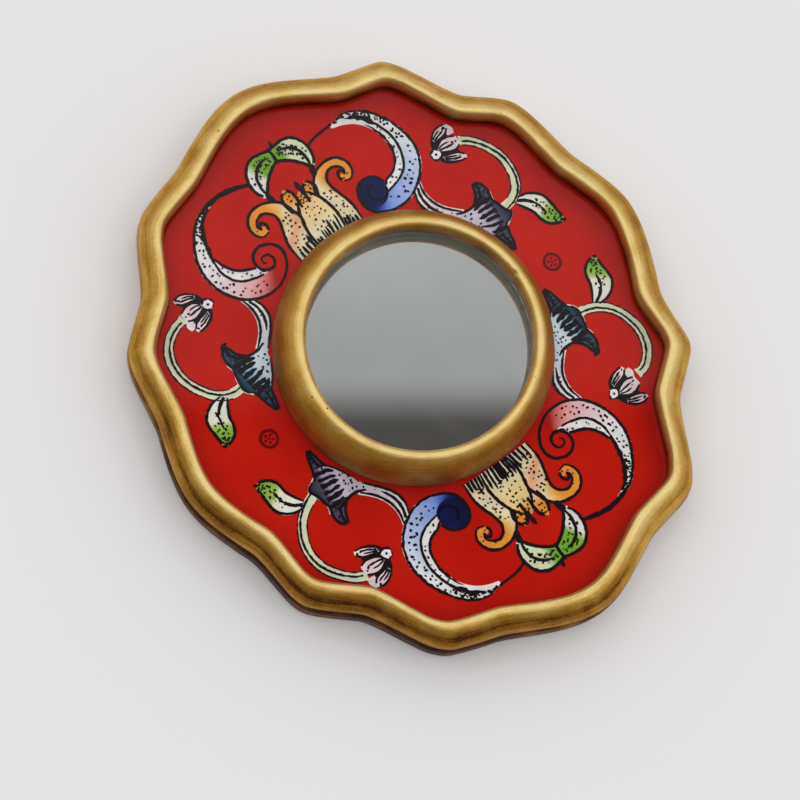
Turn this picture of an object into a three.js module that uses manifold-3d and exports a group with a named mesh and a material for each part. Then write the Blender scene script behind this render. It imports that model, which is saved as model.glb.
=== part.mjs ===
// Palm mirror: a small round looking glass in a raised gilt ring, standing on a panel of
// reverse-painted glass that a twelve-pointed gilt wooden rim holds.
// Millimetres. The mirror lies on its back: +Z points out of the glass, +Y is the long axis,
// and the origin is the centre of the back face.

import * as THREE from "three";
import { mergeVertices } from "three/addons/utils/BufferGeometryUtils.js";
import Module from "manifold-3d";

const wasm = await Module();
wasm.setup();

// Outer outline of the rim, anticlockwise: twelve points, each followed by the dip after it.
// Angles are in degrees from +X and radii in millimetres. The rim is carved by hand, so the
// points are not quite alike. The softness of a point is 0 for a sharp one.
const POINTS = [
  { angle: 0, radius: 50.5, softness: 0.22 },
  { angle: 33.5, radius: 52.2, softness: 0.22 },
  { angle: 61, radius: 56.3, softness: 0.16 },
  { angle: 90, radius: 59.2, softness: 0.4 },
  { angle: 119, radius: 56.2, softness: 0.22 },
  { angle: 147, radius: 52.5, softness: 0.22 },
  { angle: 180, radius: 50.5, softness: 0.35 },
  { angle: 212, radius: 52.2, softness: 0.22 },
  { angle: 241, radius: 56.3, softness: 0.22 },
  { angle: 270, radius: 59.2, softness: 0.4 },
  { angle: 297, radius: 57.5, softness: 0.18 },
  { angle: 325.5, radius: 52.2, softness: 0.16 },
];
const DIPS = [
  { angle: 16, radius: 49.0 },
  { angle: 44, radius: 50.6 },
  { angle: 70, radius: 54.8 },
  { angle: 109, radius: 55.4 },
  { angle: 135, radius: 51.0 },
  { angle: 163, radius: 49.3 },
  { angle: 198, radius: 48.8 },
  { angle: 224, radius: 50.7 },
  { angle: 251, radius: 55.6 },
  { angle: 287, radius: 55.9 },
  { angle: 314.5, radius: 50.6 },
  { angle: 338, radius: 48.1 },
];
const SIDE_HOLLOW = 1.5; // over 1, a side curves inwards between its point and its dip
const STEPS_PER_SIDE = 5;

// Heights of the layers, from the back face up.
const FELT_TOP = 0.8;
const POINT_BOTTOM = 1.0;
const BOARD_BOTTOM = 1.6;
const BOARD_TOP = 5.3;
const CARD_TOP = 5.9;
const PAINT_TOP = 6.1;
const GLASS_TOP = 8.1;
const PAD_TOP = 8.9;
const SEAT_TOP = 10.4;
const SILVER_TOP = 10.6;
const MIRROR_TOP = 12.4;

// The rim's section: insets from the outer outline, and heights.
const RABBET_INSET = 3.3;
const LIP_INSET = 5.5;
const GAP = 0.3; // play between pieces that sit one inside the other
const FELT_INSET = 1.4;
const RIM_SECTION = [
  [0.5, FELT_TOP],
  [0, 1.5],
  [0, 5.6],
  [0.7, 6.6],
  [0.6, 8.2],
  [1.4, 10.3],
  [2.8, 11.7],
  [4.0, 12.1],
  [5.0, 11.6],
  [LIP_INSET, 10.6],
  [LIP_INSET, GLASS_TOP],
  [RABBET_INSET, GLASS_TOP],
  [RABBET_INSET, FELT_TOP],
];

// The bezel ring: radii, and heights above the glass panel.
const BEZEL_LIP_RADIUS = 20.4;
const BEZEL_BORE_RADIUS = 21.9;
const BEZEL_SEGMENTS = 48;
const BEZEL_SECTION = [
  [BEZEL_BORE_RADIUS, GLASS_TOP],
  [26.0, GLASS_TOP],
  [26.0, 9.4],
  [25.5, 11.2],
  [24.6, 13.4],
  [23.4, 15.3],
  [22.3, 16.1],
  [21.4, 16.2],
  [20.7, 15.8],
  [BEZEL_LIP_RADIUS, 15.0],
  [BEZEL_LIP_RADIUS, MIRROR_TOP],
  [BEZEL_BORE_RADIUS, MIRROR_TOP],
];

// Glazier's points: flat steel arrowheads in pockets cut in the rim's rabbet, one at each of
// the dips in this list.
const POINTED_DIPS = [0, 2, 3, 5, 6, 8, 9, 11];
const POINT_LENGTH = 6.2;
const POINT_WIDTH = 5.0;
const POINT_TIP = 2.2; // length of its tapered end
const POINT_INSET = 1.8; // from the outer outline to the point's tip
const POCKET_TOP = 1.9;

const GILT = { color: 0xb6965c, roughness: 0.38, metalness: 0.85 };
const FINISHES = {
  felt: { color: 0x2a2320, roughness: 0.95, metalness: 0 },
  steel: { color: 0x9a9a98, roughness: 0.4, metalness: 1 },
  board: { color: 0x9a7448, roughness: 0.85, metalness: 0 },
  card: { color: 0xb9a88a, roughness: 0.9, metalness: 0 },
  paint: { color: 0xbe281c, roughness: 0.45, metalness: 0 },
  glass: { color: 0xeef4f2, roughness: 0.05, metalness: 0, transparent: true, opacity: 0.25 },
  rim: GILT,
  bezel: GILT,
  pad: { color: 0xd8d4c8, roughness: 0.9, metalness: 0 },
  silver: { color: 0xc8cccc, roughness: 0.1, metalness: 1 },
  mirror: { color: 0xa4a6a5, roughness: 0.04, metalness: 1 },
};

const object = new THREE.Group();

function addPiece(name, finish, geometry) {
  const mesh = new THREE.Mesh(geometry, new THREE.MeshStandardMaterial(FINISHES[finish]));
  mesh.name = name;
  object.add(mesh);
}

// Radius of the outline on the side that joins a point to a dip; away is 0 at the point and 1
// at the dip.
function sideRadius(point, dip, away) {
  const soften = (u) => Math.hypot(u, point.softness) - point.softness;
  const fall = soften(away) / soften(1);
  return dip.radius + (point.radius - dip.radius) * (1 - fall) ** SIDE_HOLLOW;
}

// Stations round the outline, closer together where the sides are short.
function outlineStations() {
  const stations = [];
  const addStation = (point, turn, dip, away) => {
    const degrees = THREE.MathUtils.lerp(point.angle + turn, dip.angle, away);
    stations.push({
      angle: THREE.MathUtils.degToRad(degrees),
      radius: sideRadius(point, dip, away),
    });
  };
  POINTS.forEach((point, i) => {
    const last = i + 1 === POINTS.length;
    const next = last ? POINTS[0] : POINTS[i + 1];
    for (let step = 0; step < STEPS_PER_SIDE; step += 1) {
      addStation(point, 0, DIPS[i], step / STEPS_PER_SIDE);
    }
    for (let step = 0; step < STEPS_PER_SIDE; step += 1) {
      addStation(next, last ? 360 : 0, DIPS[i], 1 - step / STEPS_PER_SIDE);
    }
  });
  return stations;
}

const STATIONS = outlineStations();

// A flat plate with the rim's outline, drawn in by inset.
function scallopedPlate(inset, bottom, top) {
  const corners = STATIONS.map(({ angle, radius }) => {
    const reach = radius - inset;
    return new THREE.Vector2(reach * Math.cos(angle), reach * Math.sin(angle));
  });
  const options = { depth: top - bottom, bevelEnabled: false };
  const plate = new THREE.ExtrudeGeometry(new THREE.Shape(corners), options);
  const position = plate.getAttribute("position");
  for (let i = 0; i < position.count; i += 1) {
    position.setZ(i, position.getZ(i) > 0 ? top : bottom);
  }
  return plate;
}

// A ring with the given section, turned as a round one and then bent onto the outline.
function scallopedRing(section) {
  const closed = [...section, section[0]];
  const turned = closed.map(([inset, height]) => new THREE.Vector2(POINTS[0].radius - inset, height));
  const ring = new THREE.LatheGeometry(turned, STATIONS.length);
  const position = ring.getAttribute("position");
  for (let i = 0; i <= STATIONS.length; i += 1) {
    const { angle, radius } = STATIONS[i % STATIONS.length];
    closed.forEach(([inset, height], j) => {
      const reach = radius - inset;
      const x = reach * Math.cos(angle);
      const y = reach * Math.sin(angle);
      position.setXYZ(i * closed.length + j, x, y, height);
    });
  }
  ring.computeVertexNormals();
  return ring;
}

// A round ring or disc about +Z, from a closed section of [radius, height].
function turnedPiece(section) {
  const closed = [...section, section[0]];
  const profile = closed.map(([radius, height]) => new THREE.Vector2(radius, height));
  return new THREE.LatheGeometry(profile, BEZEL_SEGMENTS).rotateX(Math.PI / 2);
}

function roundPlate(radius, bottom, top) {
  const profile = [
    new THREE.Vector2(0, -top),
    new THREE.Vector2(radius, -top),
    new THREE.Vector2(radius, -bottom),
    new THREE.Vector2(0, -bottom),
  ];
  return new THREE.LatheGeometry(profile, BEZEL_SEGMENTS).rotateX(-Math.PI / 2);
}

function solidOf(geometry) {
  const bare = geometry.clone();
  bare.deleteAttribute("normal");
  bare.deleteAttribute("uv");
  const merged = mergeVertices(bare, 1e-4);
  const vertProperties = merged.getAttribute("position").array;
  const triVerts = new Uint32Array(merged.index.array);
  return new wasm.Manifold(new wasm.Mesh({ numProp: 3, vertProperties, triVerts }));
}

function geometryOf(solid) {
  const { vertProperties, triVerts } = solid.getMesh();
  const geometry = new THREE.BufferGeometry();
  geometry.setAttribute("position", new THREE.BufferAttribute(vertProperties, 3));
  geometry.setIndex(new THREE.BufferAttribute(triVerts, 1));
  geometry.computeVertexNormals();
  return geometry;
}

// Room in the rim for one glazier's point, from the rabbet outwards and open at the back.
function pocketGeometry(dip) {
  const depth = RABBET_INSET - POINT_INSET + 2 * GAP;
  const height = POCKET_TOP;
  const pocket = new THREE.BoxGeometry(depth, POINT_WIDTH + 2 * GAP, height);
  pocket.translate(dip.radius - RABBET_INSET - GAP + depth / 2, 0, height / 2);
  return pocket.rotateZ(THREE.MathUtils.degToRad(dip.angle));
}

// One flat arrowhead, its tip outwards, lying against the back of the board.
function glazierPoint(dip) {
  const tip = dip.radius - POINT_INSET;
  const shoulder = tip - POINT_TIP;
  const arrow = new THREE.Shape();
  arrow.moveTo(tip - POINT_LENGTH, -POINT_WIDTH / 2);
  arrow.lineTo(shoulder, -POINT_WIDTH / 2);
  arrow.lineTo(tip, 0);
  arrow.lineTo(shoulder, POINT_WIDTH / 2);
  arrow.lineTo(tip - POINT_LENGTH, POINT_WIDTH / 2);
  const depth = BOARD_BOTTOM - POINT_BOTTOM;
  const plate = new THREE.ExtrudeGeometry(arrow, { depth, bevelEnabled: false });
  plate.translate(0, 0, POINT_BOTTOM);
  return plate.rotateZ(THREE.MathUtils.degToRad(dip.angle));
}

function makeRim() {
  let rim = solidOf(scallopedRing(RIM_SECTION));
  for (const i of POINTED_DIPS) {
    rim = rim.subtract(solidOf(pocketGeometry(DIPS[i])));
  }
  addPiece("scalloped_rim", "rim", geometryOf(rim));
}

function makePanel() {
  const inset = RABBET_INSET + GAP;
  addPiece("felt_back", "felt", scallopedPlate(FELT_INSET, 0, FELT_TOP));
  addPiece("back_board", "board", scallopedPlate(inset, BOARD_BOTTOM, BOARD_TOP));
  addPiece("cushion_card", "card", scallopedPlate(inset, BOARD_TOP, CARD_TOP));
  addPiece("paint_film", "paint", scallopedPlate(inset, CARD_TOP, PAINT_TOP));
  addPiece("glass_panel", "glass", scallopedPlate(inset, PAINT_TOP, GLASS_TOP));
  POINTED_DIPS.forEach((dip, i) => {
    addPiece(`glazier_point_${i + 1}`, "steel", glazierPoint(DIPS[dip]));
  });
}

function makeLookingGlass() {
  const radius = BEZEL_BORE_RADIUS - GAP;
  addPiece("bezel_ring", "bezel", turnedPiece(BEZEL_SECTION));
  addPiece("adhesive_pad", "pad", roundPlate(radius, GLASS_TOP, PAD_TOP));
  addPiece("mirror_seat", "board", roundPlate(radius, PAD_TOP, SEAT_TOP));
  addPiece("mirror_silvering", "silver", roundPlate(radius, SEAT_TOP, SILVER_TOP));
  addPiece("mirror_glass", "mirror", roundPlate(radius, SILVER_TOP, MIRROR_TOP));
}

makeRim();
makePanel();
makeLookingGlass();

export default object;
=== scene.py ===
import math
import random

import bpy
import numpy as np
from mathutils import Matrix, Vector


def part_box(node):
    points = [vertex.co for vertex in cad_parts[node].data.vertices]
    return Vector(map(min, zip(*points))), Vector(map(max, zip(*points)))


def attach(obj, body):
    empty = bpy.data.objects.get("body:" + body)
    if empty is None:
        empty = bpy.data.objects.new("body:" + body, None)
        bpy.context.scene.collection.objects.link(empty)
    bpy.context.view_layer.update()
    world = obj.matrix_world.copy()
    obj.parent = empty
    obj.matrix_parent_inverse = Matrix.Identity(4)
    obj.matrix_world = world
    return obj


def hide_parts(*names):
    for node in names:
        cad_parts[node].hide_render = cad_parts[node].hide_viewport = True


# Looks of a palm mirror, made round its CAD parts: a carved gilt rim of twelve points, a panel
# of reverse-painted glass in it, and a round looking glass in a raised gilt ring on the panel.
# Shapes are worked out in millimetres in the CAD frame, and turned into metres on the way out.
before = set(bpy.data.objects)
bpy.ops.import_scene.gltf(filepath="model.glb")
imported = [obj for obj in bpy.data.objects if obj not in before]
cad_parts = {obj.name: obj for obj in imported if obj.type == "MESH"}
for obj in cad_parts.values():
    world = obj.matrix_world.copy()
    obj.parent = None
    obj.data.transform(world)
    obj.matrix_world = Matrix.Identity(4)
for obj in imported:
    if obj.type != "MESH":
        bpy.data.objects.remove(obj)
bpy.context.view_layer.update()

MM = 0.001
draw = random.Random(11)


# ------ small helpers

def srgb(picked):
    """Linear colour from the hexadecimal value that a colour picker shows."""
    channels = [(picked >> shift & 255) / 255 for shift in (16, 8, 0)]
    return tuple(c / 12.92 if c <= 0.04045 else ((c + 0.055) / 1.055) ** 2.4 for c in channels)


def smoothstep(low, high, value):
    share = np.clip((np.asarray(value, float) - low) / (high - low), 0, 1)
    return share * share * (3 - 2 * share)


def heights_of(node):
    """The heights of a CAD piece's underside and top."""
    low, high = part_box(node)
    return low.z / MM, high.z / MM


def new_object(name, data):
    made = bpy.data.objects.new(name, data)
    bpy.context.scene.collection.objects.link(made)
    return made


def add_piece(name, points, faces, material, smooth=True):
    """A mesh piece that rides on the one body. Points are in millimetres."""
    mesh = bpy.data.meshes.new(name)
    mesh.from_pydata((np.asarray(points, float) * MM).tolist(), [], faces)
    mesh.materials.append(material)
    mesh.polygons.foreach_set("use_smooth", [smooth] * len(mesh.polygons))
    mesh.update()
    piece = new_object(name, mesh)
    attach(piece, "root")
    return piece


def add_values(piece, name, values):
    """A number for each vertex, which the piece's material reads by that name."""
    attribute = piece.data.attributes.new(name, "FLOAT", "POINT")
    attribute.data.foreach_set("value", np.asarray(values, np.float32).ravel())


def add_colours(piece, name, colours):
    attribute = piece.data.attributes.new(name, "FLOAT_COLOR", "POINT")
    opaque = np.column_stack([colours, np.ones(len(colours))])
    attribute.data.foreach_set("color", opaque.astype(np.float32).ravel())


CURVE_STEPS = 12  # steps of a smooth curve between two of its points


def smooth_line(knots, count):
    """count points at equal steps along a smooth curve through the knots."""
    knots = np.asarray(knots, float)
    padded = np.vstack([2 * knots[0] - knots[1], knots, 2 * knots[-1] - knots[-2]])
    u = np.linspace(0, 1, CURVE_STEPS, endpoint=False)[:, None]
    spans = []
    for p0, p1, p2, p3 in zip(padded, padded[1:], padded[2:], padded[3:]):
        bend = 2 * p0 - 5 * p1 + 4 * p2 - p3
        twist = 3 * p1 - p0 - 3 * p2 + p3
        spans.append(0.5 * (2 * p1 + (p2 - p0) * u + bend * u**2 + twist * u**3))
    fine = np.vstack(spans + [padded[-2:-1]])
    steps = np.linalg.norm(np.diff(fine, axis=0), axis=1)
    along = np.concatenate([[0], np.cumsum(steps)])
    wanted = np.linspace(0, along[-1], count)
    columns = [np.interp(wanted, along, fine[:, k]) for k in range(fine.shape[1])]
    return np.column_stack(columns)


def sideways(line):
    """Unit directions square to a line of points, to its left."""
    along = np.gradient(line, axis=0)
    along /= np.linalg.norm(along, axis=1)[:, None]
    return np.column_stack([-along[:, 1], along[:, 0]])


def full_turn(count):
    return np.arange(count) * math.tau / count


def circle(centre, radius, turns):
    return [centre + radius * np.array((math.cos(a), math.sin(a))) for a in turns]


def ripple(angles, waves, seed):
    """A smooth hand-made unevenness round a ring, from -1 to 1."""
    chance = random.Random(seed)
    total = np.zeros_like(angles)
    for wave in waves:
        total += chance.uniform(0.5, 1) * np.sin(wave * angles + chance.uniform(0, 6.3))
    return total / len(waves)


# ------ material helpers

class NodeTree:
    """Short calls to build the nodes of a material or of the world."""

    def __init__(self, tree):
        self.tree = tree

    def node(self, kind, inputs=(), **settings):
        made = self.tree.nodes.new(kind)
        for key, value in settings.items():
            setattr(made, key, value)
        for socket, value in dict(inputs).items():
            if isinstance(value, bpy.types.NodeSocket):
                self.tree.links.new(value, made.inputs[socket])
            else:
                made.inputs[socket].default_value = value
        return made

    def dot(self, vector, direction):
        inputs = {0: vector, 1: direction}
        made = self.node("ShaderNodeVectorMath", inputs, operation="DOT_PRODUCT")
        return made.outputs["Value"]

    def between(self, value, low, high, start=0, end=1):
        """start where the value is low, end where it is high, and smooth between them."""
        inputs = {"Value": value, "From Min": low, "From Max": high, "To Min": start, "To Max": end}
        made = self.node("ShaderNodeMapRange", inputs, interpolation_type="SMOOTHSTEP")
        return made.outputs[0]

    def ramp(self, factor, stops):
        """Colour by factor. A stop is a position and a linear colour, or a grey level."""
        made = self.node("ShaderNodeValToRGB", {"Fac": factor})
        elements = made.color_ramp.elements
        while len(elements) < len(stops):
            elements.new(0.5)
        for element, (position, colour) in zip(elements, stops):
            element.position = position
            rgb = colour if isinstance(colour, tuple) else (colour,) * 3
            element.color = (*rgb, 1)
        return made.outputs["Color"]

    def calc(self, operation, first, second):
        made = self.node("ShaderNodeMath", {0: first, 1: second}, operation=operation)
        return made.outputs[0]

    def mix(self, factor, first, second, blend="MIX"):
        made = self.node("ShaderNodeMix", data_type="RGBA", blend_type=blend)
        for socket, value in ((0, factor), (6, first), (7, second)):
            if isinstance(value, bpy.types.NodeSocket):
                self.tree.links.new(value, made.inputs[socket])
            elif isinstance(value, tuple):
                made.inputs[socket].default_value = (*value, 1)
            else:
                made.inputs[socket].default_value = value
        return made.outputs[2]


class Shader(NodeTree):
    """One material with a Principled shader. Its place is a point in the object's own frame, in metres."""

    def __init__(self, name, **uniform):
        self.material = bpy.data.materials.new(name)
        self.material.use_nodes = True
        super().__init__(self.material.node_tree)
        self.principled = self.tree.nodes["Principled BSDF"]
        self.place = self.node("ShaderNodeTexCoord").outputs["Object"]
        for socket, value in uniform.items():
            self.principled.inputs[socket.replace("_", " ")].default_value = value

    def wire(self, output, socket):
        self.tree.links.new(output, self.principled.inputs[socket])

    def value_of(self, name, output="Fac"):
        return self.node("ShaderNodeAttribute", attribute_name=name).outputs[output]

    def stretched(self, vector, factors):
        inputs = {0: vector, 1: factors}
        return self.node("ShaderNodeVectorMath", inputs, operation="MULTIPLY").outputs[0]

    def noise(self, scale, detail=4, roughness=0.55, stretch=None, vector=None):
        vector = vector or self.place
        if stretch:
            vector = self.stretched(vector, stretch)
        inputs = {"Vector": vector, "Scale": scale, "Detail": detail, "Roughness": roughness}
        return self.node("ShaderNodeTexNoise", inputs).outputs["Fac"]

    def cells(self, scale):
        inputs = {"Vector": self.place, "Scale": scale}
        return self.node("ShaderNodeTexVoronoi", inputs).outputs["Distance"]

    def specks(self, scale, sizes, rarity, kept, strength=0.5, detail=1):
        """Soft-edged specks, kept only where a wider noise is high."""
        spots = self.ramp(self.cells(scale), [(0, 1), (sizes[0], 1), (sizes[1], 0)])
        some = self.ramp(self.noise(rarity, detail), [(kept[0], 0), (kept[1], strength)])
        return self.calc("MULTIPLY", spots, some)

    def bump(self, height, strength, distance):
        inputs = {"Height": height, "Strength": strength, "Distance": distance}
        self.wire(self.node("ShaderNodeBump", inputs).outputs["Normal"], "Normal")


# ------ materials

def gilt(name, streak_scale, streaks):
    """Rubbed gold over umber: pale on the crests, amber on the slopes, dark in the recesses; the pale
    crests are partly painted highlight and the dark recesses partly painted shade.

    The vertex value "tone" is the amount of gold, with painted highlight and painted shade in it, "round"
    is the place across the section, and "bare" is 1 where the wood was left ungilt.
    """
    shader = Shader(name)
    across = shader.calc("MULTIPLY", shader.value_of("round"), 0.09)
    lengthwise = shader.stretched(shader.place, (0.16, 0.16, 0))
    parts = shader.node("ShaderNodeSeparateXYZ", {0: lengthwise})
    rows = {"X": parts.outputs["X"], "Y": parts.outputs["Y"], "Z": across}
    swept = shader.node("ShaderNodeCombineXYZ", rows).outputs[0]
    streak = shader.noise(streak_scale, 6, 0.66, vector=swept)
    cloud = shader.noise(190, 3, 0.5)
    grain = shader.noise(2600, 3, 0.6)
    tone = shader.value_of("tone")
    for pattern, low, high, amount in (
        (streak, 0.3, 0.7, streaks),
        (cloud, 0.3, 0.7, 0.09),
        (grain, 0.25, 0.75, 0.6 * streaks),
    ):
        spread = shader.between(pattern, low, high, -amount, amount)
        tone = shader.calc("ADD", tone, spread)
    tone = shader.calc("MINIMUM", shader.calc("MAXIMUM", tone, 0), 1)
    gold = shader.ramp(tone, [
        (0, srgb(0x2A170B)),
        (0.2, srgb(0x603814)),
        (0.42, srgb(0xA27025)),
        (0.68, srgb(0xC89B46)),
        (1, srgb(0xE1C786)),
    ])
    pitted = shader.specks(520, (0.055, 0.11), 160, (0.58, 0.66), 1, 2)
    gold = shader.mix(pitted, gold, srgb(0x3C2410))
    bare = shader.value_of("bare")
    shader.wire(shader.mix(bare, gold, srgb(0xA8AA9A)), "Base Color")
    shader.wire(shader.between(bare, 0, 1, 0.94, 0), "Metallic")
    shader.wire(shader.between(tone, 0, 1, 0.6, 0.4), "Roughness")
    ridges = shader.calc("MULTIPLY", streak, 0.5)
    height = shader.calc("ADD", ridges, shader.calc("MULTIPLY", grain, 0.6))
    height = shader.calc("SUBTRACT", height, shader.calc("MULTIPLY", pitted, 1.5))
    shader.bump(height, 0.4, 0.00016)
    return shader.material


def reverse_paint(name):
    """Paint laid on the back of glass: the vertex colour, a little uneven from the brush."""
    shader = Shader(name, Roughness=0.6, Specular_IOR_Level=0)
    wash = shader.ramp(shader.noise(420), [(0.25, 0.82), (0.7, 1.06)])
    shader.wire(shader.mix(1, shader.value_of("paint", "Color"), wash, "MULTIPLY"), "Base Color")
    return shader.material


def ground_paint():
    """The red ground, brushed on last over the drawing."""
    shader = Shader("red_ground_paint", Roughness=0.6, Specular_IOR_Level=0)
    clouds = shader.noise(55, 3)
    strokes = shader.noise(900, stretch=(1, 0.25, 1))
    blended = shader.mix(0.25, clouds, strokes)
    red = shader.ramp(blended, [(0.3, srgb(0xC01407)), (0.7, srgb(0xD2200F))])
    faint = shader.specks(150, (0.02, 0.045), 90, (0.6, 0.64))
    shader.wire(shader.mix(faint, red, srgb(0xD65C46)), "Base Color")
    return shader.material


GLASS_REFLECTANCE = 0.04  # of light that meets the glass squarely


def thin_glass(name, tint):
    """Clear flat glass: a view straight through, under a gloss that grows towards the edge.

    The gloss is the same from both sides, so that light reaches what lies under the glass.
    """
    material = bpy.data.materials.new(name)
    material.use_nodes = True
    made = NodeTree(material.node_tree)
    made.tree.nodes.remove(made.tree.nodes["Principled BSDF"])
    facing = made.node("ShaderNodeLayerWeight", {"Blend": 0.5}).outputs["Facing"]
    grazing = made.calc("POWER", facing, 5)
    share = made.calc("MULTIPLY_ADD", grazing, 1 - GLASS_REFLECTANCE)
    share.node.inputs[2].default_value = GLASS_REFLECTANCE
    clear = made.node("ShaderNodeBsdfTransparent", {"Color": (*tint, 1)})
    gloss = made.node("ShaderNodeBsdfGlossy", {"Roughness": 0.01})
    both = made.node("ShaderNodeMixShader", {0: share, 1: clear.outputs[0], 2: gloss.outputs[0]})
    surface = made.tree.nodes["Material Output"].inputs["Surface"]
    made.tree.links.new(both.outputs[0], surface)
    return material


def silvered():
    """The bright back of the looking glass, with rare dull flecks and faint smears."""
    shader = Shader("silvering_metal", Metallic=1, Roughness=0.02)
    haze = shader.noise(60, 3)
    bright = shader.ramp(haze, [(0.3, srgb(0xE8E9E8)), (0.7, srgb(0xEEF0EF))])
    spots = shader.specks(240, (0.018, 0.03), 120, (0.62, 0.66))
    shader.wire(shader.mix(spots, bright, srgb(0x787C7C)), "Base Color")
    smears = shader.noise(170, 2, stretch=(1, 0.35, 1))
    shader.wire(shader.between(smears, 0.45, 0.75, 0.02, 0.05), "Roughness")
    return shader.material


def felt_cloth():
    """Short-napped dark felt."""
    shader = Shader("felt_cloth", Roughness=0.95, Specular_IOR_Level=0.2, Sheen_Weight=0.35,
                    Sheen_Roughness=0.5)
    fibres = shader.noise(5200, 6, 0.7, (1, 0.35, 1))
    crossed = shader.noise(4300, 6, 0.7, (0.35, 1, 1))
    nap = shader.mix(0.5, fibres, crossed)
    worn = shader.noise(70, 3)
    dark = shader.ramp(nap, [(0.32, srgb(0x1A1514)), (0.55, srgb(0x302826)),
                             (0.75, srgb(0x4E4440))])
    light = shader.ramp(worn, [(0.35, 0.85), (0.7, 1.15)])
    shader.wire(shader.mix(1, dark, light, "MULTIPLY"), "Base Color")
    shader.bump(nap, 0.8, 0.00025)
    return shader.material


def grained(name, dark, light, stretch, scale, roughness, bump):
    """Wood or card: two tones along stretched grain, with a matching bump."""
    shader = Shader(name, Roughness=roughness)
    grain = shader.noise(scale, 6, 0.65, stretch)
    blotch = shader.noise(60, 3)
    both = shader.mix(0.35, grain, blotch)
    shader.wire(shader.ramp(both, [(0.3, dark), (0.7, light)]), "Base Color")
    shader.bump(grain, bump, 0.0001)
    return shader.material


def plain_wood(name):
    return grained(name, srgb(0x765432), srgb(0xAC8458), (0.08, 1, 1), 1400, 0.8, 0.3)


def grey_card():
    dark = srgb(0x968A70)
    light = srgb(0xC4B89C)
    return grained("grey_card", dark, light, (1, 0.7, 1), 2600, 0.9, 0.2)


def cut_steel():
    shader = Shader("glazier_steel", Metallic=1)
    scratches = shader.noise(3800, 5, stretch=(1, 0.1, 1))
    rust = shader.ramp(shader.noise(900), [(0.6, 0), (0.72, 1)])
    steel = shader.ramp(scratches, [(0.3, srgb(0x8C8C8A)), (0.7, srgb(0xB6B6B4))])
    shader.wire(shader.mix(rust, steel, srgb(0x704E34)), "Base Color")
    shader.wire(shader.ramp(scratches, [(0.3, 0.32), (0.7, 0.48)]), "Roughness")
    return shader.material


def foam_tape():
    shader = Shader("foam_tape", Roughness=0.9)
    pores = shader.cells(2600)
    shade = shader.ramp(pores, [(0.1, srgb(0xB0ACA0)), (0.6, srgb(0xDEDACE))])
    shader.wire(shade, "Base Color")
    shader.bump(pores, 0.5, 0.0001)
    return shader.material


# ------ the carved rim

WALL_HEIGHT = 5.6  # a height at which the CAD rim's wall is at its full radius
RIM_STATIONS = 720
SECTION_POINTS = 64


def rim_outline():
    """Angles and radii of the rim's outer wall, read from the CAD rim and made smooth."""
    corners = {}
    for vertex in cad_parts["scalloped_rim"].data.vertices:
        x, y, z = vertex.co / MM
        if abs(z - WALL_HEIGHT) < 0.01:
            corners[round(math.atan2(y, x) % math.tau, 4)] = math.hypot(x, y)
    known = np.array(sorted(corners))
    radii = np.array([corners[angle] for angle in known])
    known = np.concatenate([known[-2:] - math.tau, known, known[:2] + math.tau])
    radii = np.concatenate([radii[-2:], radii, radii[:2]])
    slopes = np.gradient(radii, known)
    angles = full_turn(RIM_STATIONS)
    i = np.searchsorted(known, angles, side="right") - 1
    span = known[i + 1] - known[i]
    u = (angles - known[i]) / span
    start = (1 + 2 * u) * (1 - u) ** 2 * radii[i] + u * (1 - u) ** 2 * span * slopes[i]
    end = u * u * (3 - 2 * u) * radii[i + 1] + u * u * (u - 1) * span * slopes[i + 1]
    return angles, start + end


ANGLES, RADII = rim_outline()

# The rim's section, as inset from the outer wall, height, and tone of the gold there. The tone is partly
# the gilding's own rubbed patina, partly painted highlight on the crest and painted shade in the grooves,
# low on the wall and where the rim meets the glass.
RIM_FOOT = [(0.6, 0.8, 0.36), (0.12, 1.1, 0.46), (0, 1.9, 0.52)]
RIM_FACE = [
    (0, 3.6, 0.54), (0, 5, 0.56), (0.16, 5.8, 0.56), (0.55, 6.4, 0.46), (0.76, 7, 0.4),
    (0.62, 7.7, 0.46), (0.48, 8.4, 0.58), (0.54, 9.1, 0.64), (0.88, 9.8, 0.66), (1.35, 10.2, 0.62),
    (1.8, 10.4, 0.54), (2.25, 10.85, 0.58), (2.8, 11.35, 0.68), (3.4, 11.8, 0.8), (4.05, 12.07, 0.92),
    (4.6, 12.1, 1), (5.1, 11.8, 0.98), (5.4, 11.1, 0.8), (5.5, 10.1, 0.5), (5.5, 9, 0.22),
    (5.5, 8.12, 0),
]
RABBET = [(3.3, 8.12, 0), (3.3, 0.8, 0)]
# Small pits, each at an angle in degrees and a radius, with a width and a depth.
RIM_DENTS = [(22, 46, 0.35, 0.35), (23.5, 45.7, 0.25, 0.3), (63, 49.5, 0.3, 0.2)]
CARVED_ABOVE = 8.3  # the height from which the rim's shape wanders
CARVED_BLEND = 1.5
INNER_WALL = 5.3  # insets over this are on the wall round the glass
INNER_WALL_SHARE = 0.4  # of the unevenness reaches that wall
RIM_SWAY = 0.16
RIM_LIFT = 0.12
RIM_WEAR = 0.1
HELD_SIDE = 213  # azimuth of the side that the hand holds, painted darker as the hand's shadow and dark reflection
SHADE_LINE_INSET = 1.9  # the painted shade's brown line lies in the groove below the crest
SHADE_LINE_WIDTH = 0.7


def loop_faces(rows, columns, closed):
    """Quads between rows of points, where each row is a loop, and so are the rows if closed."""
    faces = []
    for row in range(rows if closed else rows - 1):
        here = row * columns
        there = (row + 1) % rows * columns
        for j in range(columns):
            k = (j + 1) % columns
            faces.append((here + j, here + k, there + k, there + j))
    return faces


def dented(reach, height, angles, dents):
    """Lowers the surface in small round pits, or raises it where the depth is negative."""
    for angle, radius, width, depth in dents:
        along = (angles - math.radians(angle) + math.pi) % math.tau - math.pi
        away = np.hypot(along[:, None] * radius, reach - radius)
        hollow = np.exp(-((away / width) ** 2)) * depth
        height = height - np.where(height > CARVED_ABOVE, hollow, 0)
    return height


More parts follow.
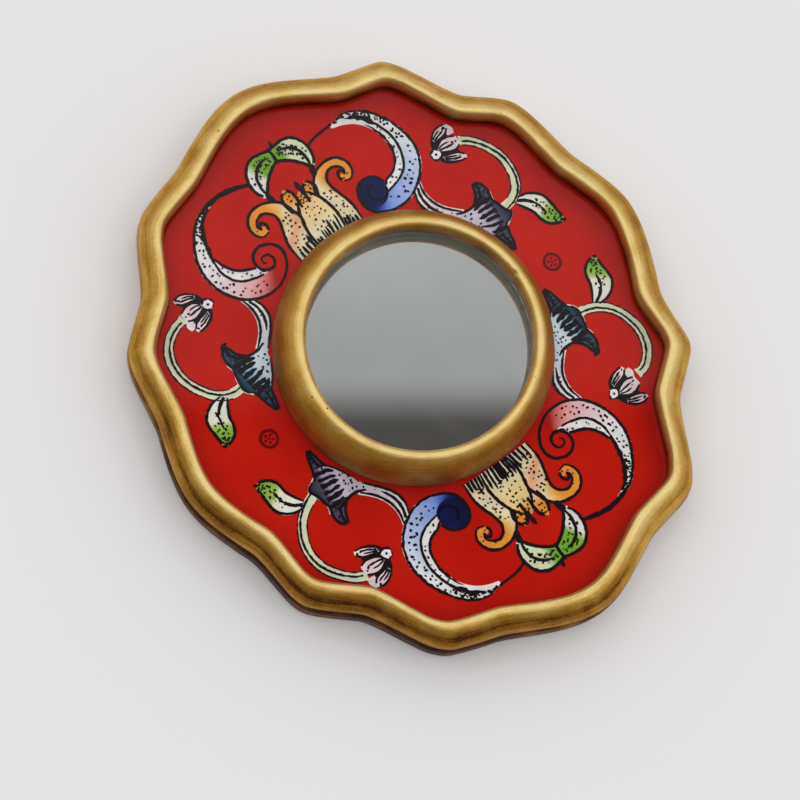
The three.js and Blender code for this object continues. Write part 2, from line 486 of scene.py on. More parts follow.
def swept_ring(name, angles, reach, height, tone, bare, material):
    """A gilt ring from the reach and height of its section's points at each angle."""
    points = np.dstack([
        reach * np.cos(angles)[:, None],
        reach * np.sin(angles)[:, None],
        height,
    ])
    faces = loop_faces(*reach.shape, closed=True)
    ring = add_piece(name, points.reshape(-1, 3), faces, material)
    around = np.arange(reach.shape[1]) / reach.shape[1]
    for value, amounts in (("tone", tone), ("round", around), ("bare", bare)):
        add_values(ring, value, np.broadcast_to(amounts, reach.shape))
    return ring


def held_side_shade(inset, level):
    """Painted shade for the hand's shadow and dark reflection on the held side: down the slope, in its
    groove and low on the wall.
    """
    held = smoothstep(0.1, 0.9, np.cos(ANGLES - math.radians(HELD_SIDE)))[:, None]
    slope = smoothstep(4.3, 2.8, inset)
    line = np.exp(-(((inset - SHADE_LINE_INSET) / SHADE_LINE_WIDTH) ** 2))
    under = smoothstep(8.4, 7, level)
    return held * (0.15 * slope + 0.16 * line + 0.26 * under)


def make_rim():
    """The rim, a little uneven where it is carved."""
    face = smooth_line(RIM_FOOT + RIM_FACE, SECTION_POINTS)
    inset, level, tone = np.vstack([face, RABBET]).T
    carved = smoothstep(CARVED_ABOVE - CARVED_BLEND, CARVED_ABOVE + CARVED_BLEND, level)
    carved = np.where(inset > INNER_WALL, INNER_WALL_SHARE, 1) * carved
    sway = ripple(ANGLES, (5, 9, 14, 23), 3)[:, None] * RIM_SWAY * carved
    lift = ripple(ANGLES, (4, 7, 17, 31), 8)[:, None] * RIM_LIFT * carved
    reach = RADII[:, None] - inset + sway
    height = dented(reach, level + np.minimum(lift, 0), ANGLES, RIM_DENTS)
    worn = ripple(ANGLES, (3, 8, 13), 5)[:, None] * RIM_WEAR * carved
    # the gold is darkened on the held side as painted shade of the hand
    tone = np.clip(tone + worn - held_side_shade(inset, level), 0, 1)
    gold = gilt("rim_gilding", 900, 0.11)
    rim = swept_ring("gilt_rim", ANGLES, reach, height, tone, 0, gold)
    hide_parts("scalloped_rim")


# ------ the bezel ring

BEZEL_STATIONS = 288
BEZEL_POINTS = 56
# Radius, height and tone, from the foot on the glass over the crest and down to the lip. The tone is
# partly rubbed gilding, partly painted highlight at the crest and painted shade at the foot and the lip.
BEZEL_FACE = [
    (26, 8.12, 0.1), (26, 8.7, 0.36), (25.95, 9.4, 0.45), (25.6, 11, 0.5), (25.1, 12.4, 0.54),
    (24.5, 13.7, 0.56), (23.8, 14.8, 0.59), (23.1, 15.6, 0.67), (22.4, 16.1, 0.84), (21.75, 16.2, 1),
    (21.2, 15.95, 0.8), (20.85, 15.4, 0.5), (20.7, 14.6, 0.32), (20.65, 13.4, 0.22), (20.65, 12.42, 0.14),
]
BEZEL_BORE = [(21.9, 12.42, 0), (21.9, 8.12, 0)]
LIP_LEAN = 0.55  # the opening is a little off the ring's centre
LIP_LEAN_AZIMUTH = math.radians(-36)
BEZEL_SWAY = 0.07
BEZEL_LIFT = 0.08
BEZEL_DENTS = [
    (-1, 21.6, 0.4, 0.55),
    (1.5, 21.9, 0.3, -0.12),
    (4, 21.4, 0.3, 0.3),
    (196, 22.4, 0.35, 0.12),
]


def make_bezel():
    """The ring round the looking glass. Its underside, which the glass shows, is bare wood."""
    face = smooth_line(BEZEL_FACE, BEZEL_POINTS)
    section = np.vstack([face, BEZEL_BORE])
    radius, level, tone = section.T
    angles = full_turn(BEZEL_STATIONS)
    carved = smoothstep(9, 14, level)
    sway = ripple(angles, (2, 5, 9), 21)[:, None] * BEZEL_SWAY * carved
    lean = smoothstep(25.5, 21.4, radius) * LIP_LEAN
    lean[len(face):] = 0
    reach = radius + sway + lean * np.cos(angles - LIP_LEAN_AZIMUTH)[:, None]
    lift = np.minimum(ripple(angles, (3, 7, 12), 22)[:, None] * BEZEL_LIFT * carved, 0)
    height = dented(reach, level + lift, angles, BEZEL_DENTS)
    underside = np.arange(len(section)) >= len(face) - 1
    gold = gilt("bezel_gilding", 700, 0.07)
    bezel = swept_ring("gilt_bezel", angles, reach, height, tone, underside, gold)
    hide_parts("bezel_ring")


# ------ plates and discs

def plate(name, rings, material):
    """A flat piece from closed rings of points, from its underside to its top."""
    count = len(rings[0])
    last = (len(rings) - 1) * count
    faces = loop_faces(len(rings), count, closed=False)
    faces.append(tuple(reversed(range(count))))
    faces.append(tuple(range(last, last + count)))
    return add_piece(name, np.vstack(rings), faces, material, smooth=False)


def flat_ring(angles, reach, height):
    heights = np.full(len(angles), height)
    return np.column_stack([reach * np.cos(angles), reach * np.sin(angles), heights])


def outline_ring(inset, height):
    return flat_ring(ANGLES, RADII - inset, height)


def make_felt():
    """The felt pad: a soft-edged sheet that the mirror lies on."""
    low, high = heights_of("felt_back")
    lower = ((2.2, 0), (1.75, 0.02), (1.5, 0.12), (1.4, 0.35))
    upper = ((1.4, 0.1), (1.5, 0), (2.2, 0))
    rings = [outline_ring(inset, low + rise) for inset, rise in lower]
    rings += [outline_ring(inset, high - drop) for inset, drop in upper]
    felt = plate("felt_pad", rings, felt_cloth())
    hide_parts("felt_back")


DISC_STATIONS = 192
SILVER_OVERLAP = 0.05  # reaches into the glass, so that no seam shows between them


def make_silvering():
    low, high = heights_of("mirror_silvering")
    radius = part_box("mirror_silvering")[1].x / MM
    angles = full_turn(DISC_STATIONS)
    rings = [flat_ring(angles, radius, height) for height in (low, high + SILVER_OVERLAP)]
    disc = plate("silver_coat", rings, silvered())
    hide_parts("mirror_silvering")


# ------ painting tools

GROUND_TOP = 6.12  # just inside the glass, so that the paint touches it without a seam
COAT = 0.03  # from one level of paint to the next
SHAPE_STEP = 0.002  # from one shape to the next in a coat, so that none share a face
SHAPES_PER_COAT = 12  # after which the steps begin again
STROKE_STEP = 0.3
UNDERPAINT_ROWS = 32
EDGE_STRIDE = 4  # an outline is drawn through every fourth point of an edge

PAINT_LIFT = 1.3  # the colours are named as they look in this room, so the paint is lighter
PAINT_LIMIT = 0.95
INK = 0x1A1316
WHITE = 0xE8E2DC
RED_INK = 0x600A08


def uneven(points):
    """The drawing's slow drift, so that no copy of a motif is quite like another."""
    x, y = points[..., 0], points[..., 1]
    across = 0.22 * np.sin(0.13 * y + 0.7) + 0.12 * np.sin(0.31 * x + 0.2 * y)
    along = 0.22 * np.sin(0.12 * x - 1.1) + 0.12 * np.sin(0.27 * y - 0.23 * x)
    return np.stack([x + across, y + along], axis=-1)


class Copy:
    """Where a motif is drawn: mirrored or not, in the upper half or turned to the lower."""

    def __init__(self, mirror, turn):
        self.signs = np.array([mirror * turn, turn], float)

    def __call__(self, points):
        return uneven(np.asarray(points, float) * self.signs)


coats = []


class Coat:
    """Flat closed shapes of one coat of paint, gathered into one piece."""

    def __init__(self, name, level):
        coats.append(self)
        self.name = name
        self.bottom = GROUND_TOP - COAT
        self.top = GROUND_TOP + level * COAT
        self.points = []
        self.faces = []
        self.colours = []
        self.shapes = 0

    def add(self, flat, loop, tops, colours):
        """flat is every point of one shape, loop its edge anticlockwise, tops its upper faces."""
        high = self.top + self.shapes % SHAPES_PER_COAT * SHAPE_STEP
        first = len(self.points)
        count = len(flat)
        self.shapes += 1
        self.points += [(x, y, high) for x, y in flat]
        self.points += [(x, y, self.bottom) for x, y in flat]
        self.colours += [*colours, *colours]
        self.faces += [tuple(first + i for i in face) for face in tops]
        self.faces += [tuple(first + count + i for i in reversed(face)) for face in tops]
        for a, b in zip(loop, [*loop[1:], loop[0]]):
            upper = (first + b, first + a)
            lower = (first + count + a, first + count + b)
            self.faces.append((*upper, *lower))

    def sheet(self, grid, colours):
        """A shape from a grid of points, with a colour at each."""
        corners = np.vstack([grid[0], grid[1:, -1], grid[-1, ::-1], grid[::-1, 0]])
        x, y = corners.T
        if np.sum(x * np.roll(y, -1) - y * np.roll(x, -1)) < 0:
            grid = grid[:, ::-1]
            colours = colours[:, ::-1]
        rows, columns = grid.shape[:2]
        index = np.arange(rows * columns).reshape(rows, columns)
        tops = [
            (index[r, c], index[r, c + 1], index[r + 1, c + 1], index[r + 1, c])
            for r in range(rows - 1)
            for c in range(columns - 1)
        ]
        loop = [*index[0], *index[1:, -1], *index[-1, -2::-1], *index[-2:0:-1, 0]]
        self.add(grid.reshape(-1, 2), [int(i) for i in loop], tops, colours.reshape(-1, 3))

    def blot(self, centre, radius, colour, stretch=1, heading=0, sides=9):
        """A small irregular dot."""
        turns = full_turn(sides)
        reach = np.array([radius * draw.uniform(0.82, 1.18) for _ in range(sides)])
        local = np.stack([reach * stretch * np.cos(turns), reach * np.sin(turns)])
        c, s = math.cos(heading), math.sin(heading)
        spun = np.array([[c, -s], [s, c]]) @ local
        flat = spun.T + centre
        colours = np.tile(srgb(colour), (sides, 1))
        self.add(flat, list(range(sides)), [tuple(range(sides))], colours)

    def build(self, material):
        piece = add_piece(self.name, self.points, self.faces, material, smooth=False)
        lifted = np.minimum(np.array(self.colours) * PAINT_LIFT, PAINT_LIMIT)
        add_colours(piece, "paint", lifted)


# The coats, with their levels. A higher level lies nearer to the viewer.
white_coat = Coat("white_underpaint", 1)
tulip_coat = Coat("tulip_paint", 2)
leaf_coat = Coat("leaf_paint", 2)
scroll_coat = Coat("scroll_paint", 2)
flower_coat = Coat("bell_flower_paint", 3)
stem_coat = Coat("stem_paint", 2)
bud_coat = Coat("bud_paint", 3)
petal_coat = Coat("overlaid_petal_paint", 4)
ink_coat = Coat("ink_drawing", 5)
calyx_coat = Coat("calyx_paint", 6)
dot_coat = Coat("calyx_ink", 7)


class Band:
    """A strip of the drawing between two smooth edges that run the same way."""

    def __init__(self, first_edge, second_edge, count=48):
        self.first = smooth_line(first_edge, count)
        self.second = smooth_line(second_edge, count)

    def at(self, along, across):
        steps = np.linspace(0, 1, len(self.first))
        ends = [
            np.stack([np.interp(along, steps, edge[:, k]) for k in (0, 1)], axis=-1)
            for edge in (self.first, self.second)
        ]
        across = np.asarray(across, float)[..., None]
        return ends[0] * (1 - across) + ends[1] * across

    def line(self, start, end, across_start, across_end, count=12):
        share = np.linspace(0, 1, count)
        across = across_start + (across_end - across_start) * share
        return self.at(start + (end - start) * share, across)


def tinted(stops, values):
    """Linear colours for an array of values, from (value, picked colour) stops."""
    places = [place for place, _ in stops]
    picked = np.array([srgb(colour) for _, colour in stops])
    return np.stack([np.interp(values, places, picked[:, k]) for k in range(3)], axis=-1)


FILL_COLUMNS = 7


def fill(coat, place, band, stops, rows=40, slant=0, pivot=0.5, crosswise=False):
    """Paints a band in colours that run along it, perhaps at a slant, or straight across it."""
    along, across = np.meshgrid(
        np.linspace(0, 1, rows), np.linspace(0, 1, FILL_COLUMNS), indexing="ij"
    )
    values = across if crosswise else along + slant * (across - pivot)
    coat.sheet(place(band.at(along, across)), tinted(stops, values))


def underpaint(place, band, spread=0.12, shift=(0, 0), end=0.96):
    """White laid behind a band, a little beyond it, where the hand overshot."""
    rows = np.linspace(0.01, end, UNDERPAINT_ROWS)
    along, across = np.meshgrid(rows, [0, 0.5, 1], indexing="ij")
    width = np.linalg.norm(band.at(along[:, 0], 1) - band.at(along[:, 0], 0), axis=-1)
    margin = (spread / np.maximum(width, spread))[:, None]
    grid = band.at(along, across * (1 + 2 * margin) - margin) + np.array(shift)
    colours = np.tile(srgb(WHITE), (UNDERPAINT_ROWS, 3, 1))
    white_coat.sheet(place(grid), colours)


def stroke(place, knots, width, start=0.35, end=0.35, colour=INK, ragged=0.14):
    """A pen line through the knots, thinner at its ends and uneven along its edges."""
    knots = np.asarray(knots, float)
    length = np.sum(np.linalg.norm(np.diff(knots, axis=0), axis=1))
    count = max(4, int(length / STROKE_STEP))
    line = place(smooth_line(knots, count))
    side = sideways(line)
    share = np.linspace(0, 1, count)
    swell = np.interp(share, [0, 0.22, 0.78, 1], [start, 1, 1, end])
    edges = []
    for sign in (1, -1):
        rough = np.array([draw.uniform(-1, 1) for _ in range(count)])
        rough = (rough + np.roll(rough, 1)) * ragged
        edges.append(line + sign * side * (width / 2 * swell * (1 + rough))[:, None])
    grid = np.stack(edges, axis=1)
    ink_coat.sheet(grid, np.tile(srgb(colour), (count, 2, 1)))


def dots(place, band, rows, columns, size=0.2, span=(0.1, 0.92), skip=0.15, edge=0.2):
    """Ink dots scattered over a band, in loose rows."""
    for row in range(rows):
        for column in range(columns):
            along = span[0] + (row + draw.uniform(0.1, 0.9)) / rows * (span[1] - span[0])
            across = edge + (column + draw.uniform(0.15, 0.85)) / columns * (1 - 2 * edge)
            radius = size * draw.uniform(0.7, 1.3)
            heading = draw.uniform(0, math.pi)
            if draw.random() > skip:
                centre = place(band.at(along, across))
                ink_coat.blot(centre, radius, INK, draw.uniform(1, 1.6), heading)


def outline(place, band, width, start=0.5, end=0.5):
    for edge in (band.first, band.second):
        stroke(place, edge[::EDGE_STRIDE], width, start, end)


# ------ the motifs

CREAM = 0xDECEA6
ORANGE = 0xDC8C34
LEAF = 0x70A434
PALE_GREEN = 0xCED6B0


def side_petal(place, root, blush):
    """A petal that rises from the ring and curls over outwards into a spiral."""
    inner = [(root, 25.8), (root + 0.4, 29.5), (root - 0.1, 32.6), (2.7, 34.8), (3.4, 36.8),
             (5.2, 38.5), (7.7, 39.1), (9.8, 38.6), (11.2, 37), (11.4, 35.3), (10.7, 34),
             (9.6, 33.5), (8.6, 34), (8.4, 35)]
    outer = [(7, 25.8), (7.2, 29.2), (6.6, 31.8), (6, 33.8), (5.9, 35.5), (6.6, 36.8),
             (7.9, 37.4), (9.1, 37), (9.9, 36.2), (10, 35.5), (9.8, 35), (9.5, 34.8),
             (9.3, 35), (9.2, 35.4)]
    petal = Band(inner, outer, 72)
    underpaint(place, petal, end=0.9)
    stops = [(0, 0xE4DED0), (0.12, CREAM), (0.24, blush), (0.36, CREAM),
             (0.44, 0xDEB26E), (0.54, ORANGE), (1, ORANGE)]
    fill(tulip_coat, place, petal, stops, 72, 0.1)
    outline(place, petal, 0.55)
    stroke(place, [(8.5, 34.2), (8.3, 35.2), (8.8, 36), (9.5, 35.8), (9.6, 35.1)], 0.6, 0.9, 0.7)
    dots(place, petal, 8, 3, 0.18, (0.06, 0.42))
    dots(place, petal, 4, 1, 0.15, (0.72, 0.98))
    for across in (0.16, 0.36, 0.56, 0.78):
        reach = draw.uniform(0.08, 0.15)
        stroke(place, petal.line(0, reach, across, across), draw.uniform(0.4, 0.65), 1, 0.3)


def tulip(place, mirrored):
    """Two short petals, two that curl over, and a broad one in front."""
    for side, height in ((place, -0.8), (mirrored, 0)):
        small = Band([(0.9, 34.2), (1, 37.6 + height), (2.2, 39.3 + height)],
                     [(2.9, 34.2), (3.4, 37.2 + height), (2.3, 39.3 + height)], 24)
        underpaint(side, small, 0.05, end=0.85)
        fill(tulip_coat, side, small, [(0, CREAM), (0.4, ORANGE), (1, ORANGE)], 14)
        outline(side, small, 0.6, 0.8, 1)
        dots(side, small, 4, 2, 0.18, skip=0.2)
    side_petal(place, 3.5, 0xE0D0B2)
    side_petal(mirrored, 2.2, 0xDEA07A)
    centre = Band([(-2.3, 25.8), (-2.7, 29), (-2.2, 32.3), (-1.5, 34.8), (-0.1, 37.2)],
                  [(3.5, 25.8), (3.9, 29.5), (3.3, 32.8), (2.2, 35.2), (0.5, 37.2)])
    underpaint(place, centre, 0.1)
    stops = [(0, 0xE6E0CE), (0.22, 0xE2D6B4), (0.45, 0xE0C890),
             (0.7, 0xE0C084), (0.84, ORANGE), (1, ORANGE)]
    fill(petal_coat, place, centre, stops)
    outline(place, centre, 0.6)
    dots(place, centre, 9, 4, 0.18, (0.2, 0.95))
    for across in (0.1, 0.2, 0.34, 0.42, 0.5, 0.62, 0.76, 0.88):
        reach = draw.uniform(0.14, 0.34)
        stroke(place, centre.line(0, reach, across, across), draw.uniform(0.35, 0.65), 1, 0.35)
    stroke(place, [(0.8, 36.2), (0.7, 37.6), (0.5, 39.3)], 0.9, 1, 0.2)


def top_leaf(place, green_to, pale):
    """One of the two leaves that meet over the tulip."""
    over = [(0.15, 46.9), (2, 47.3), (4.3, 47.2), (6.1, 45.6), (6.8, 43.2), (6.4, 41), (5.3, 39.4)]
    under = [(0.15, 44.4), (1.4, 43.8), (2.8, 42.8), (3.9, 41.6), (4.6, 40.6), (4.9, 39.9), (5.1, 39.4)]
    leaf = Band(over, under)
    underpaint(place, leaf, 0.12, (0.1, -0.12))
    stops = [(0, LEAF), (green_to, LEAF), (green_to + 0.16, pale), (1, pale)]
    fill(leaf_coat, place, leaf, stops, slant=-0.1)
    outline(place, leaf, 0.62, 0.9, 0.8)
    fold = [(1.4, 46), (3.4, 45.5), (4.9, 43.9), (5.3, 41.8), (5.1, 40.2)]
    stroke(place, fold, 0.62, 0.3, 0.6)
    dots(place, leaf, 7, 2, 0.2, (0.06, 0.7), skip=0.1)
    dots(place, leaf, 5, 3, 0.16, (0.05, 0.45), skip=0.1)


def leaf_pair(place, mirrored):
    top_leaf(place, 0.16, PALE_GREEN)
    top_leaf(mirrored, 0.4, 0xE8E6DA)
    stroke(place, [(0.05, 44), (0.1, 45.6), (0, 47.4)], 0.6, 0.8, 0.9)
    stroke(place, [(0.6, 47), (1, 47.7), (1.1, 48.4)], 0.6, 1, 0.2)
    for side in (place, mirrored):
        stroke(side, [(5.2, 40.2), (4.9, 39.2), (4.6, 38)], 1.1, 0.7, 0.8)


def tip_marks(place, band):
    """Short dark dashes that thin out from a scroll's tip."""
    for i in range(24):
        along = 0.02 + 0.012 * i
        across = draw.choice((0, 0.25, 0.5, 0.7))
        mark = band.line(along, along + draw.uniform(0.014, 0.026), across, across + 0.3, 4)
        stroke(place, mark, draw.uniform(0.32, 0.56) * (1.1 - 0.025 * i), 0.6, 0.6)


def blue_scroll(place):
    """A C-scroll of two bands that run to a white tip, and curl into a dark ball."""
    outer = [(12.7, 44.2), (14.6, 44.8), (17.2, 44.3), (20, 42.4), (22.4, 39), (23.6, 35.2),
             (23.7, 31.8), (22.8, 28.8), (20.8, 26.2), (18.2, 24.5), (15.4, 23.8), (12.6, 24.2)]
    middle = [(12.5, 44.1), (15, 43.9), (17.5, 42.7), (19.6, 40.3), (20.8, 37.5), (21.2, 34.9),
              (20.9, 32.5), (20.1, 30.4), (18.6, 28.8), (16.5, 28), (14.8, 27.7), (13.2, 27.3)]
    inner = [(12.4, 43.9), (14.9, 43.1), (17, 41.8), (18.7, 39.8), (19.6, 37.4), (19.9, 35),
             (19.6, 33), (18.8, 31.4), (17.5, 30.3), (16, 29.8), (15.2, 29.4), (14.8, 28.6)]
    broad = Band(outer, middle, 72)
    narrow = Band(middle, inner, 72)
    underpaint(place, broad, 0.12, (0.16, -0.1))
    underpaint(place, narrow, 0.12, (-0.1, -0.14))
    stops = [(0, WHITE), (0.42, 0xDEE0E8), (0.66, 0xBAC6E4), (0.86, 0x98ACDE),
             (1, 0x7090D6)]
    fill(scroll_coat, place, broad, stops, 60, 0.05)
    fill(scroll_coat, place, narrow, [(0, WHITE), (1, 0xE2E4EA)], 60)
    stroke(place, broad.first[1::5], 0.5, 0.3, 0.8, ragged=0.3)
    stroke(place, narrow.first[8::5], 0.5, 0.3, 0.7)
    stroke(place, narrow.first[9:26:4], 0.85, 0.3, 0.3, ragged=0.4)
    stroke(place, narrow.second[22::4], 0.5, 0.2, 0.8, ragged=0.3)
    dots(place, broad, 22, 2, 0.21, (0.14, 0.97), skip=0.12)
    dots(place, narrow, 12, 1, 0.17, (0.35, 0.95), skip=0.1)
    tip_marks(place, broad)
    hook = Band([(12.8, 24.2), (10.9, 25.1), (9.5, 26.6), (8.9, 28.6), (9.3, 30.3), (10.8, 31.7)],
                [(13.4, 27.3), (12.4, 27), (12.2, 27.2), (12.1, 28), (12, 28.8), (11.9, 29.6)])
    deep = [(0, 0x688AD4), (0.12, 0x4260BE), (0.24, 0x1A2270), (0.4, 0x121642),
            (1, 0x101438)]
    fill(scroll_coat, place, hook, deep, 24, 0.12, 0.6)
    ring = circle(np.array((12, 29)), 2.9, np.linspace(0, math.tau, 14)[:-1])
    half = len(ring) // 2
    ball = Band(ring[:half + 1], [ring[0], *ring[:half:-1]], 24)
    fill(petal_coat, place, ball, [(0, 0x161A4A), (1, 0x101436)], 16)
    stroke(place, [(15, 29.6), (14.1, 31.3), (12, 32.1), (9.8, 31.2), (8.8, 28.8), (9.4, 26.4),
                   (11, 25), (13, 24.1)], 0.55, 0.7, 0.7)
    stroke(place, [(14.8, 28.4), (13.2, 27), (11.6, 27.4), (10.9, 28.8), (11.6, 30.2), (12.8, 30)],
           0.4, 0.5, 0.4, 0x080A1E)
    stroke(place, [(6.9, 43.6), (9, 44.2), (12.8, 44.4)], 0.5, 0.8, 1)


def pink_scroll(place):
    """A C-scroll that swells from a fine tail, folds over low down and ends in a line curl."""
    outer = [(14.6, 44.3), (17.4, 43.8), (19.6, 42.2), (21.4, 39.9), (22.8, 37), (23.4, 34),
             (23.1, 30.6), (22, 27.9), (20.2, 25.7), (17.8, 24.3), (15.2, 23.8), (12.2, 24.3)]
    middle = [(14.6, 43.9), (17, 42.9), (18.6, 41.3), (19.6, 39.3), (20.2, 37), (20.6, 34.6),
              (20.6, 32.2), (19.9, 30.2), (18.6, 28.7), (16.8, 28), (14.8, 27.6), (12.6, 27.3)]
    inner = [(20.3, 34.8), (19.7, 33), (18.7, 31.4), (17.5, 30.4), (16.3, 29.9), (15.2, 29.5),
             (14.2, 29)]
    body = Band(outer, middle, 72)
    fold = Band([(20.6, 34.8), *middle[6:11], (13.4, 27.5)], inner, 40)
    underpaint(place, body, 0.1, (0.2, 0.05))
    underpaint(place, fold, 0.1, (-0.05, 0.1))
    stops = [(0, WHITE), (0.4, 0xE8E0E4), (0.64, 0xE6CCD2), (0.8, 0xE6ACB2),
             (0.88, 0xDE8480), (0.97, 0xAC241A), (1, 0xA8180E)]
    fill(scroll_coat, place, body, stops, 60, -0.07)
    fill(scroll_coat, place, fold, [(0, WHITE), (1, 0xE8D8DC)], 32)
    stroke(place, body.first[::5], 0.55, 0.5, 0.8)
    stroke(place, body.second[4:40:4], 0.8, 0.4, 0.6, ragged=0.25)
    stroke(place, fold.first[::4], 0.5, 0.4, 0.7)
    stroke(place, fold.second[::4], 0.55, 0.6, 0.7)
    dots(place, body, 24, 2, 0.2, (0.1, 0.92), skip=0.12)
    dots(place, fold, 7, 1, 0.17, (0.2, 0.95), skip=0.1)
    tip_marks(place, body)
    stroke(place, [(12.9, 24.2), (10.8, 25.5), (9.2, 27.6), (8.7, 29.7), (9.6, 31.6), (11.6, 32.5),
                   (13.5, 32), (14.5, 30.5), (14.2, 28.7), (12.9, 27.8), (11.6, 28), (11, 29.2),
                   (11.5, 30.4), (12.7, 30.5), (13.2, 29.7), (12.7, 29.1)], 0.55, 0.8, 0.5)
    stroke(place, [(14.4, 29), (14.2, 28.3), (13.4, 27.8)], 0.5)
    stroke(place, [(6.9, 43.4), (9.5, 44.2), (12.5, 44.6), (15.5, 44.2), (17.6, 43.4)], 0.95, 0.6, 0.3)


def neck(place, tones):
    """The double stalk from a scroll to its bell flower, close along the ring."""
    stalk = Band([(20.3, 25.4), (19.8, 23.2), (20, 21), (21, 18.9), (22.6, 17.2), (24, 16)],
                 [(18.5, 24.4), (17.8, 22.4), (18, 20.2), (19.2, 18.2), (20.9, 16.4), (22.6, 14.6)])
    underpaint(place, stalk, 0.25, (0.15, 0.1))
    fill(flower_coat, place, stalk, [(0, WHITE), (1, tones[0])], 24)
    outline(place, stalk, 0.5)
    stroke(place, stalk.line(0.02, 0.62, 0.45, 0.6, 10), 0.55, 0.9, 0.3)
    dots(place, stalk, 5, 1, 0.15, (0.3, 0.95))


def bell_flower(place, tones, corner, heavy):
    """A bell seen from the side, its mouth outwards with a dark lobe at each end."""
    pale, mid, lobe, dark = tones
    tube = Band([(22.2, 16.6), (24, 16), (25.8, 16.1), (27.6, 16.7), (29.5, 16.8)],
                [(22.9, 13.4), (24, 11.2), (25, 9.6), (26.2, 8.4), (28.5, 8)], 24)
    lobes = [
        Band([(28.3, 19.9), (27.9, 18.9), (27.5, 17.7), (26.6, 16.7), (25.4, 15.9)],
             [(28.7, 19.8), (29.5, 19), (29.8, 17.5), (29.6, 16.2), (29.2, 14.8)], 24),
        Band([(26.8, 4.6), (26.5, 5.8), (26.2, 7.4), (25.9, 8.6), (25.6, 9.6)],
             [(27.1, 4.5), (27.8, 5.7), (28.2, 7.6), (28.8, 9.4), (29.3, 10.8)], 24),
    ]
    mouth = Band([(28.9, 16.8), (28.7, 15), (28.9, 13.2), (28.6, 11.4), (28, 9.8), (27.2, 8.2)],
                 [(29.9, 16.9), (29.5, 15.2), (30, 13.6), (30 + corner / 2, 12), (30 + corner, 10.8),
                  (28.7, 9.2)], 24)
    underpaint(place, tube, 0.1, (0.1, -0.1))
    underpaint(place, mouth, 0.1, (0.2, -0.1))
    stops = [(0, pale), (0.5, pale), (0.85, mid), (0.97, dark), (1, dark)]
    fill(flower_coat, place, tube, stops, 20)
    for band in lobes:
        underpaint(place, band, 0.05, (0.15, 0))
        fill(flower_coat, place, band, [(0, dark), (0.4, lobe), (1, dark)], 20)
    fill(petal_coat, place, mouth, [(0, lobe), (1, dark)], 20, crosswise=True)
    for band in lobes:
        outline(place, band, 0.5, 0.9, 0.6)
        stroke(place, band.line(0.02, 0.7, 0.5, 0.35, 8), 0.5, 0.9, 0.5)
        dots(place, band, 4, 2, 0.2, (0.25, 0.8), skip=0.2)
    stroke(place, tube.first[::4], 0.55, 0.6, 0.8)
    stroke(place, tube.second[::4], 0.35, 0.5, 0.8)
    stroke(place, mouth.second[::4], 0.5, 0.6, 0.6)
    for i in range(6):
        across = 0.13 + 0.15 * i
        reach = 0.4 + 0.2 * draw.random()
        ray = tube.line(0.99, reach, across, across - 0.03 + 0.06 * draw.random(), 7)
        ray[:, 1] += 0.15 * np.sin(np.linspace(0, math.pi, 7))
        stroke(place, ray, draw.uniform(0.6, 0.9) + heavy, 1.1, 0.3, ragged=0.22)
    dots(place, tube, 3, 4, 0.17, (0.12, 0.45), edge=0.1)
    if not corner:
        stroke(place, [(29.2, 19.6), (28.6, 20.2), (27.6, 20.3)], 0.6, 0.9, 0.2)


def stem(place, knots, line_start, line_end):
    """A pale stem with a dark line that drifts across it."""
    line = smooth_line(knots, 40)
    half_width = sideways(line) * 0.95
    stalk = Band(line + half_width, line - half_width, 48)
    pale = [(0, 0xDEDACC), (0.3, PALE_GREEN), (0.75, PALE_GREEN), (1, 0xE2E0D0)]
    fill(stem_coat, place, stalk, pale, crosswise=True)
    stroke(place, stalk.line(0.02, 0.97, line_start, line_end, 24), 0.4, 0.8, 0.8, ragged=0.3)
    for across in (0.02, 0.98):
        stroke(place, stalk.line(0.1, 0.98, across, across, 24), 0.24, 0.5, 0.7, ragged=0.4)


BUD_BASE = 0xE8D8DC
BUD_BLUSH = 0xE2C4CC


def bud(place, blob):
    """A half-open bud: pale petals over a dark base, with a round calyx."""
    dark = Band([(25.9, 28.9), (26.4, 30.5), (27.5, 31.8), (28.8, 32.5), (30.2, 32.7)],
                [(25.9, 27.3), (26.3, 26.1), (27.3, 25.2), (28.6, 24.7), (30.2, 24.5)], 16)
    x, y = blob
    loose = Band([(x - 0.9, y - 0.9), (x - 1, y), (x - 0.5, y + 1.1)],
                 [(x + 0.5, y - 1), (x + 0.8, y), (x + 0.3, y + 1.1)], 16)
    fill(bud_coat, place, loose, [(0, BUD_BLUSH), (1, BUD_BASE)], 10, crosswise=True)
    fill(bud_coat, place, dark, [(0, INK), (1, INK)], 12)
    petals = [
        Band([(27, 31), (28.1, 32), (29.6, 32.5), (31, 32.2)],
             [(27.4, 30.3), (28.8, 30.4), (30.2, 30.8), (31, 31.7)]),
        Band([(27, 29), (28.3, 29.9), (29.9, 29.9), (31.4, 29.2)],
             [(27, 28.2), (28.3, 27.4), (29.8, 27.1), (31.3, 27.6)]),
        Band([(26.8, 27.2), (28.2, 26.8), (29.8, 26.3), (30.8, 25.2)],
             [(26.9, 26.1), (28.1, 25.2), (29.4, 24.7), (30.6, 24.7)]),
    ]
    for petal in petals:
        fill(petal_coat, place, petal, [(0, BUD_BASE), (0.6, BUD_BLUSH), (1, BUD_BASE)], 16)
        outline(place, petal, 0.4, end=0.9)
        stroke(place, petal.line(0.02, 0.6, 0.3, 0.34, 6), 0.34, 1, 0.3)
        stroke(place, petal.line(0.02, 0.75, 0.66, 0.62, 6), 0.4, 1, 0.3, ragged=0.25)
        dots(place, petal, 2, 1, 0.2, (0.65, 0.9), skip=0.1)
    centre = place(np.array((26, 28.1)))
    ink_coat.blot(centre, 1.2, INK)
    calyx_coat.blot(centre, 0.88, BUD_BASE, sides=14)
    dot_coat.blot(centre, 0.26, INK)


